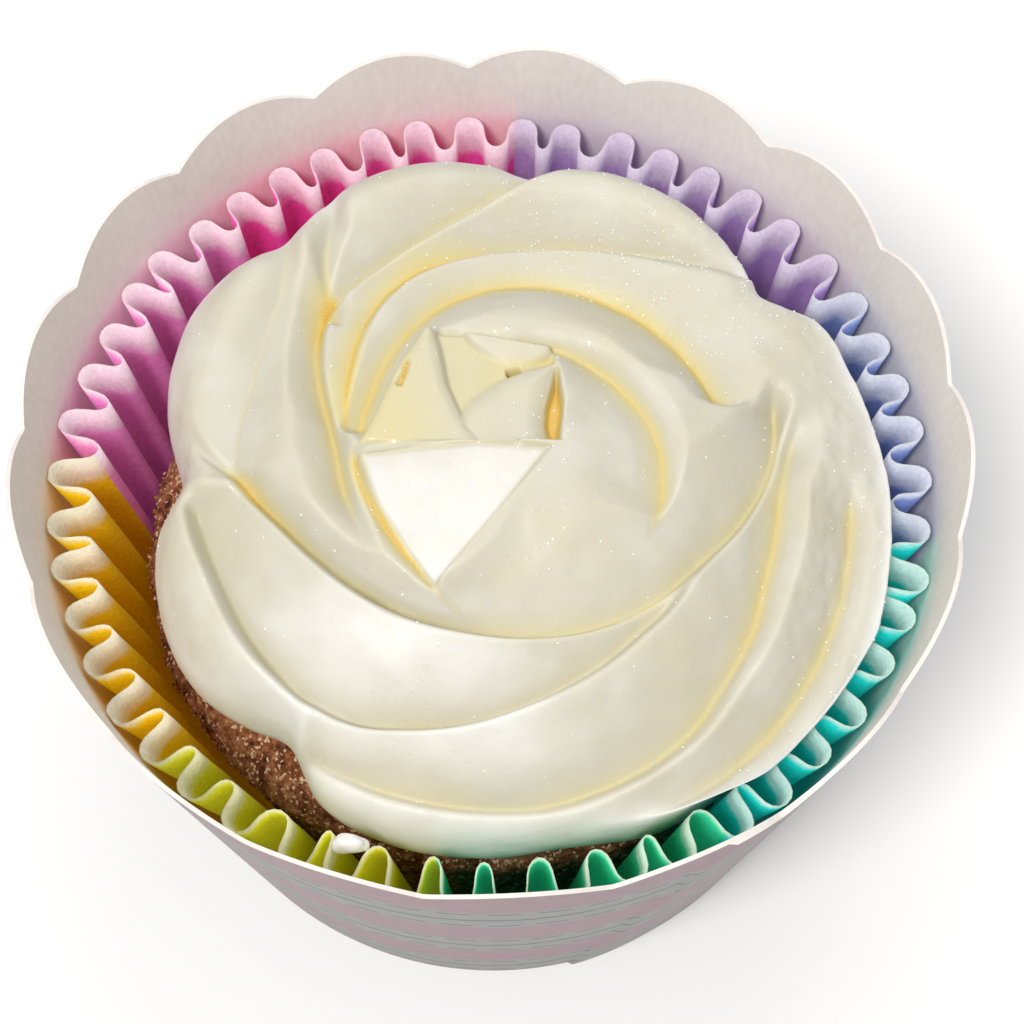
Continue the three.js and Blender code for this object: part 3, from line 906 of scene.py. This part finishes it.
def piped_rose():
    bm = bmesh.new()
    bmesh.ops.create_uvsphere(bm, u_segments=512, v_segments=186, radius=1.0)
    crease = bm.verts.layers.float.new("crease")
    # how far up the ball, from 0 to 1, the underside ends and the flank ends
    under_to, flank_to = 0.07, 0.13
    for v in bm.verts:
        deg = math.degrees(math.atan2(v.co.y, v.co.x)) % 360
        up = 1 - math.acos(clamp(v.co.z, -1, 1)) / math.pi
        edge = outline(deg)
        base = edge - UNDERCUT
        if up < under_to:
            p = icing_point(deg, base * up / under_to, CAKE_EDGE_Z + 3)
            p.z = dome(p.xy.length) + CLEAR
            # painted shade under the rose, where it sits on the sponge
            deep = 0.3
        elif up < flank_to:
            t = (up - under_to) / (flank_to - under_to)
            low = icing_point(deg, base, CAKE_EDGE_Z + 3)
            z0 = dome(low.xy.length) + CLEAR
            bulge = math.sin(t * math.pi / 2)
            p = icing_point(deg, base + UNDERCUT * bulge,
                            mix(z0, flank_z(deg), t * (0.6 + 0.4 * t)))
            # painted shade that fades up the flank
            deep = 0.25 * (1 - t)
        else:
            t = (up - flank_to) / (1 - flank_to)
            r = edge * (1 - t) ** 0.92
            z, deep = icing_top(deg, r)
            e = clamp((r - (edge - ROLL)) / ROLL)
            p = icing_point(deg, r, mix(flank_z(deg), z, math.sqrt(1 - e * e)))
            deep *= 1 - e ** 3
        torn = over_edge(deg - TORN_TURN) * ease(20, 27, p.xy.length)
        rough = 0.10 * wobble(p.x / 2.4, p.y / 2.4, p.z / 2.4, 6)
        rough += 0.12 * torn * wobble(p.x / 0.9, p.y / 0.9, p.z / 0.9, 7)
        p += Vector((p.x * 0.02, p.y * 0.02, 1.0)) * rough
        v.co = p * MM
        v[crease] = deep
    # warm icing slumps a little: no edge stays knife-sharp, and the laps slump most
    laps = [v for v in bm.verts if (v.co.xy / MM - SWIRL).length > BUD_REACH - 0.5]
    for soft in (bm.verts, laps):
        bmesh.ops.smooth_vert(bm, verts=soft, factor=0.5, use_axis_x=True,
                              use_axis_y=True, use_axis_z=True)
    return finish_piece(bm, "piped_rose", [buttercream()], "icing")


icing = piped_rose()

# %% [markdown]
# ## Sugar, crumbs and a dab
# Coarse sugar that never dissolved sits in the skin of the icing along the crests and the
# last, roughest turn. Where the sponge lies open it sheds crumbs and caramel grains, and
# the bag left one dab on a pleat at the front. All are real: small closed bodies that
# press a little way into what they sit on.

# %% Sugar on the crests
GRAINS = 700


def clear_sugar(name, tint):
    # crystal faces: nearly smooth, so each grain is a point of light
    material, tree, shader = new_material(name)
    shader.inputs["Base Color"].default_value = colour(tint)
    shader.inputs["Roughness"].default_value = 0.12
    shader.inputs["IOR"].default_value = 1.54
    shader.inputs["Subsurface Weight"].default_value = 0.3
    shader.inputs["Subsurface Scale"].default_value = 0.0005
    return material


def grain_likely(deg, r):
    # most on the back's wide turn and on the outer turn at the right
    back = ease(0.6, 1.0, math.cos(math.radians(deg - 62))) * ease(15, 19, r)
    right = ease(0.8, 1.0, math.cos(math.radians(deg - 345))) * ease(22, 27, r)
    return 0.04 + 0.6 * back + 0.4 * right


def sugar_grains():
    random.seed(7)
    spots = [v.co / MM for v in icing.data.vertices if v.co.z > 0.037]
    bm = bmesh.new()
    made = 0
    while made < GRAINS:
        p = random.choice(spots)
        x, y = p.x - SWIRL.x, p.y - SWIRL.y
        deg, r = math.degrees(math.atan2(y, x)) % 360, math.hypot(x, y)
        if random.random() > grain_likely(deg, r):
            continue
        size = random.uniform(0.04, 0.1)
        turn = Matrix.Rotation(random.uniform(0, math.tau), 4, "Z")
        spot = Matrix.Translation((p + Vector((0, 0, 0.3 * size))) * MM)
        bmesh.ops.create_cube(bm, size=size * 1.3 * MM,
                              matrix=spot @ turn @ Matrix.Rotation(0.7, 4, (1, 1, 0)))
        made += 1
    return finish_piece(bm, "sugar_grains", [clear_sugar("clear_sugar_grain", "#fbfaf4")],
                        None, smooth=False)


sugar_grains()


# %% Crumbs where the sponge lies open
def open_sponge(p):
    # whether this point of the sponge shows outside the icing
    x, y = p.x - SWIRL.x, p.y - SWIRL.y
    return (p.z > CAKE_EDGE_Z - 2.5
            and math.hypot(x, y) > outline(math.degrees(math.atan2(y, x))) - 1.0)


def crumbs(name, count, low, high, material, seed):
    # bits torn from the sponge as it rose, lying on its open edge
    random.seed(seed)
    spots = [v.co / MM for v in cake.data.vertices if open_sponge(v.co / MM)]
    bm = bmesh.new()
    for _ in range(count):
        size = random.uniform(low, high)
        p = random.choice(spots) + Vector((random.uniform(-0.2, 0.2),
                                           random.uniform(-0.2, 0.2), 0.3 * size))
        turn = Matrix.Rotation(random.uniform(0, math.tau), 4, "Z")
        shape = Matrix.Diagonal((size, size * random.uniform(0.6, 1), size * 0.7, 1))
        bmesh.ops.create_icosphere(bm, subdivisions=1, radius=MM,
                                   matrix=Matrix.Translation(p * MM) @ turn @ shape)
    return finish_piece(bm, name, [material], None, smooth=False)


crumbs("loose_crumbs", 1300, 0.1, 0.26, cake.data.materials[0], 11)
crumbs("crumb_sugar", 600, 0.05, 0.08, clear_sugar("caramel_sugar_grain", "#dca882"), 12)


# %% A dab on a pleat
def icing_dab():
    bm = bmesh.new()
    bmesh.ops.create_icosphere(bm, subdivisions=4, radius=1.0)
    for v in bm.verts:
        lump = 1 + 0.22 * wobble(v.co.x * 1.3, v.co.y * 1.3, v.co.z * 1.3, 9)
        v.co = Vector((v.co.x * 1.35, v.co.y * 0.7, v.co.z * 0.95)) * lump * MM
    bmesh.ops.translate(bm, verts=bm.verts, vec=at(251.5, 30.6, 37.3))
    return finish_piece(bm, "icing_dab", [icing.data.materials[0]], None)


icing_dab()

# %% [markdown]
# ## Studio
# A pale floor that fades into a pale room. The key light is a soft disc, high and to the
# front left, so faces that lean that way are the whitest and the laps fall away into
# cream. A weaker, wider one at the back keeps the far petals from going dull.

# %% Floor and lights
def floor():
    bm = bmesh.new()
    bmesh.ops.create_grid(bm, x_segments=1, y_segments=1, size=1.5)
    mesh = bpy.data.meshes.new("studio_floor")
    bm.to_mesh(mesh)
    bm.free()
    material, tree, shader = new_material("matt_white_paper_sweep")
    shader.inputs["Base Color"].default_value = colour("#f4f4f4")
    shader.inputs["Roughness"].default_value = 0.9
    mesh.materials.append(material)
    piece = bpy.data.objects.new("studio_floor", mesh)
    bpy.context.collection.objects.link(piece)


def softbox(name, place, size, watts, tint):
    light = bpy.data.lights.new(name, "AREA")
    light.shape = "DISK"
    light.size = size
    light.energy = watts
    light.color = colour(tint)[:3]
    lamp = bpy.data.objects.new(name, light)
    lamp.location = place
    lamp.rotation_euler = (Vector((0, 0, 0.035)) - Vector(place)).to_track_quat(
        "-Z", "Y").to_euler()
    bpy.context.collection.objects.link(lamp)


floor()
softbox("key", (-0.12, -0.20, 0.46), 0.13, 1.52, "#fffcf8")
softbox("back", (0.04, 0.20, 0.48), 0.25, 0.42, "#ffffff")
world = bpy.data.worlds.new("pale room")
bpy.context.scene.world = world
world.use_nodes = True
world.node_tree.nodes["Background"].inputs["Color"].default_value = colour("#ffffff")
world.node_tree.nodes["Background"].inputs["Strength"].default_value = 0.62
bpy.context.scene.view_settings.view_transform = "Standard"

# %% [markdown]
# ## Camera
# A hand-held close view from above the front: the lens is near, so the rim looms over the
# foot. Its place is worked out from the rim's centre, the tilt, and the distance.

# %% Camera
TILT = math.radians(63.6)            # how far the view looks down
ROLL_DEG = -0.31
DISTANCE = 157.5                     # mm, from the rim's centre
LENS, SENSOR = 74.74, 36.0           # mm
ASIDE, ABOVE = 1.54, -5.0            # mm, the view's middle from the rim's centre


def camera():
    lens = bpy.data.cameras.new("close_view")
    lens.sensor_width = SENSOR
    lens.lens = LENS
    lens.clip_start = 0.01
    view = bpy.data.objects.new("close_view", lens)
    right = Vector((1, 0, 0))
    up = Vector((0, math.sin(TILT), math.cos(TILT)))
    ahead = Vector((0, math.cos(TILT), -math.sin(TILT)))
    turn = math.radians(ROLL_DEG)
    across = math.cos(turn) * right - math.sin(turn) * up
    upward = math.sin(turn) * right + math.cos(turn) * up
    rim = Vector((0, 0, NOTCH_Z))
    spot = (rim + ASIDE * across + ABOVE * upward - DISTANCE * ahead) * MM
    view.matrix_world = Matrix((
        (across.x, upward.x, -ahead.x, spot.x),
        (across.y, upward.y, -ahead.y, spot.y),
        (across.z, upward.z, -ahead.z, spot.z),
        (0, 0, 0, 1)))
    bpy.context.collection.objects.link(view)
    bpy.context.scene.camera = view


camera()

# %% Finish
print("finished")
